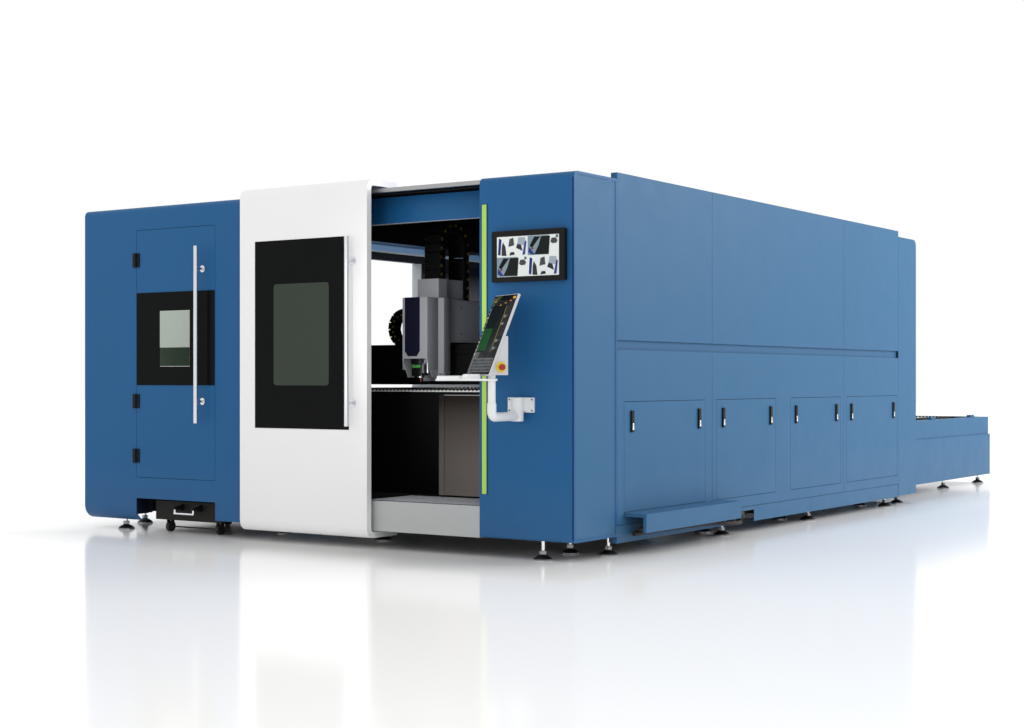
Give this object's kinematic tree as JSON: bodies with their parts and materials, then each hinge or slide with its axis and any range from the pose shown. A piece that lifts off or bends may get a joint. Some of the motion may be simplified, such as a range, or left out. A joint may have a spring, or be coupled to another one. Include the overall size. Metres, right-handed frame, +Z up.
{
  "type": "fiber laser cutting machine",
  "caption": "Enclosed sheet laser cutter with a sliding door, gantry head, operator console on an arm, service door, scrap trolley and a pallet exchange table behind.",
  "frame": {"origin": "centre of the footprint on the floor", "axes": "+Y from the operator's front towards the exchange table, +X to the operator's right, +Z up"},
  "size_m": [4.384, 9.3164, 2.37],
  "materials": {
    "cabinet_blue": "satin",
    "door_white": "satin",
    "frame_steel": "satin",
    "sill_grey": "satin",
    "zinc": "satin",
    "tread": "brushed",
    "black_plastic": "matte",
    "panel_black": "gloss",
    "filter_glass": "gloss",
    "clear_glass": "gloss",
    "silver": "polished",
    "light_green": "gloss",
    "bed_grey": "satin",
    "pallet_dark": "satin",
    "gantry_dark": "satin",
    "head_dark": "satin",
    "head_grey": "satin",
    "head_metal": "satin",
    "yellow": "gloss",
    "red": "gloss",
    "console_white": "satin",
    "hose": "matte",
    "foot_black": "matte",
    "trolley_dark": "satin",
    "wheel": "matte"
  },
  "bodies": {
    "machine": {"cabinet_frame": "frame_steel", "front_shell_left": "cabinet_blue", "front_shell_right": "cabinet_blue", "side_panels_right": "cabinet_blue", "side_panels_left": "cabinet_blue", "rear_shell": "cabinet_blue", "roof_panel": "frame_steel", "door_rail": "zinc", "door_sill": "sill_grey", "tread_plate": "tread", "light_strip": "light_green", "camera_monitor": "black_plastic", "channel_cover": "cabinet_blue", "hoses": "hose", "levelling_feet": "foot_black", "bed_frame": "bed_grey", "bed_apron": "bed_grey", "exchange_table": "cabinet_blue", "service_hinges": "silver", "arm_bracket": "cabinet_blue"},
    "sliding_door": {"sliding_door": "door_white", "sliding_door_window": "panel_black", "sliding_door_glass": "filter_glass", "sliding_door_handle": "silver"},
    "service_door": {"service_door": "cabinet_blue", "service_door_window": "panel_black", "service_door_glass": "clear_glass", "service_door_handle": "silver", "service_door_hinges": "silver"},
    "gantry": {"gantry_beam": "gantry_dark", "x_chain": "black_plastic"},
    "carriage": {"head_carriage": "head_dark", "z_chain": "black_plastic"},
    "head": {"head_cover": "head_grey", "laser_head": "head_metal"},
    "upper_pallet": {"upper_pallet": "pallet_dark"},
    "pallet_lift": {"lift_platform": "gantry_dark", "lower_pallet": "pallet_dark"},
    "swing_arm": {"swing_arm": "cabinet_blue"},
    "console": {"console_post": "console_white", "control_box": "head_grey", "control_screen": "panel_black", "stop_collar": "yellow", "keyboard": "black_plastic"},
    "stop_button": {"emergency_stop": "red"},
    "trolley": {"trolley": "trolley_dark"},
    "front_wheels": {"front_wheels": "wheel"},
    "rear_wheels": {"rear_wheels": "wheel"},
    "access_panel_1": {"access_panel_1": "cabinet_blue"},
    "latch_1a": {"latch_1a": "black_plastic"},
    "latch_1b": {"latch_1b": "black_plastic"},
    "access_panel_2": {"access_panel_2": "cabinet_blue"},
    "latch_2a": {"latch_2a": "black_plastic"},
    "latch_2b": {"latch_2b": "black_plastic"},
    "access_panel_3": {"access_panel_3": "cabinet_blue"},
    "latch_3a": {"latch_3a": "black_plastic"},
    "latch_3b": {"latch_3b": "black_plastic"},
    "access_panel_4": {"access_panel_4": "cabinet_blue"},
    "latch_4a": {"latch_4a": "black_plastic"},
    "latch_4b": {"latch_4b": "black_plastic"}
  },
  "joints": [
    {"name": "sliding_door_slide", "type": "slide", "parent": "machine", "child": "sliding_door", "axis": [1, 0, 0], "range_m": [0, 0.829]},
    {"name": "service_door_hinge", "type": "hinge", "parent": "machine", "child": "service_door", "pos_m": [-1.651, -4.17382, 1.2], "axis": [0, 0, 1], "range_deg": [-110, 0]},
    {"name": "gantry_slide", "type": "slide", "parent": "machine", "child": "gantry", "axis": [0, 1, 0], "range_m": [0, 2.75]},
    {"name": "carriage_slide", "type": "slide", "parent": "gantry", "child": "carriage", "axis": [1, 0, 0], "range_m": [-0.8, 0.6], "deforming": ["x_chain"]},
    {"name": "head_slide", "type": "slide", "parent": "carriage", "child": "head", "axis": [0, 0, 1], "range_m": [-0.025, 0.1], "deforming": ["z_chain"]},
    {"name": "upper_pallet_slide", "type": "slide", "parent": "machine", "child": "upper_pallet", "axis": [0, 1, 0], "range_m": [0, 5.195]},
    {"name": "pallet_lift_slide", "type": "slide", "parent": "machine", "child": "pallet_lift", "axis": [0, 0, 1], "range_m": [0, 0.66]},
    {"name": "arm_swivel", "type": "hinge", "parent": "machine", "child": "swing_arm", "pos_m": [1.672, -4.22182, 0.866], "axis": [0, 0, 1], "range_deg": [0, 50]},
    {"name": "console_swivel", "type": "hinge", "parent": "swing_arm", "child": "console", "pos_m": [1.672, -4.49182, 0.947], "axis": [0, 0, 1], "range_deg": [0, 110]},
    {"name": "stop_press", "type": "slide", "parent": "console", "child": "stop_button", "axis": [-0.866, 0.5, 0], "range_m": [0, 0.005]},
    {"name": "trolley_roll", "type": "slide", "parent": "machine", "child": "trolley", "axis": [0, -1, 0], "range_m": [0, 0.7]},
    {"name": "front_wheels_spin", "type": "hinge", "parent": "trolley", "child": "front_wheels", "pos_m": [-1.202, -4.02682, 0.0375], "axis": [1, 0, 0], "continuous": true},
    {"name": "rear_wheels_spin", "type": "hinge", "parent": "trolley", "child": "rear_wheels", "pos_m": [-1.202, -3.44682, 0.0375], "axis": [1, 0, 0], "continuous": true},
    {"name": "access_panel_1_lift_off", "type": "slide", "parent": "machine", "child": "access_panel_1", "axis": [1, 0, 0], "range_m": [0, 0.25]},
    {"name": "latch_1a_lift", "type": "hinge", "parent": "access_panel_1", "child": "latch_1a", "pos_m": [2.034, -3.48082, 0.892], "axis": [0, -1, 0], "range_deg": [0, 75]},
    {"name": "latch_1b_lift", "type": "hinge", "parent": "access_panel_1", "child": "latch_1b", "pos_m": [2.034, -2.57782, 0.892], "axis": [0, -1, 0], "range_deg": [0, 75]},
    {"name": "access_panel_2_lift_off", "type": "slide", "parent": "machine", "child": "access_panel_2", "axis": [1, 0, 0], "range_m": [0, 0.25]},
    {"name": "latch_2a_lift", "type": "hinge", "parent": "access_panel_2", "child": "latch_2a", "pos_m": [2.034, -2.21982, 0.892], "axis": [0, -1, 0], "range_deg": [0, 75]},
    {"name": "latch_2b_lift", "type": "hinge", "parent": "access_panel_2", "child": "latch_2b", "pos_m": [2.034, -1.45582, 0.892], "axis": [0, -1, 0], "range_deg": [0, 75]},
    {"name": "access_panel_3_lift_off", "type": "slide", "parent": "machine", "child": "access_panel_3", "axis": [1, 0, 0], "range_m": [0, 0.25]},
    {"name": "latch_3a_lift", "type": "hinge", "parent": "access_panel_3", "child": "latch_3a", "pos_m": [2.034, -1.00882, 0.892], "axis": [0, -1, 0], "range_deg": [0, 75]},
    {"name": "latch_3b_lift", "type": "hinge", "parent": "access_panel_3", "child": "latch_3b", "pos_m": [2.034, -0.24182, 0.892], "axis": [0, -1, 0], "range_deg": [0, 75]},
    {"name": "access_panel_4_lift_off", "type": "slide", "parent": "machine", "child": "access_panel_4", "axis": [1, 0, 0], "range_m": [0, 0.25]},
    {"name": "latch_4a_lift", "type": "hinge", "parent": "access_panel_4", "child": "latch_4a", "pos_m": [2.034, 0.06818, 0.892], "axis": [0, -1, 0], "range_deg": [0, 75]},
    {"name": "latch_4b_lift", "type": "hinge", "parent": "access_panel_4", "child": "latch_4b", "pos_m": [2.034, 0.99318, 0.892], "axis": [0, -1, 0], "range_deg": [0, 75]}
  ],
  "couplings": [
    {"joint": "front_wheels_spin", "follows": "trolley_roll", "rad_per_m": 26.667},
    {"joint": "rear_wheels_spin", "follows": "trolley_roll", "rad_per_m": 26.667}
  ]
}
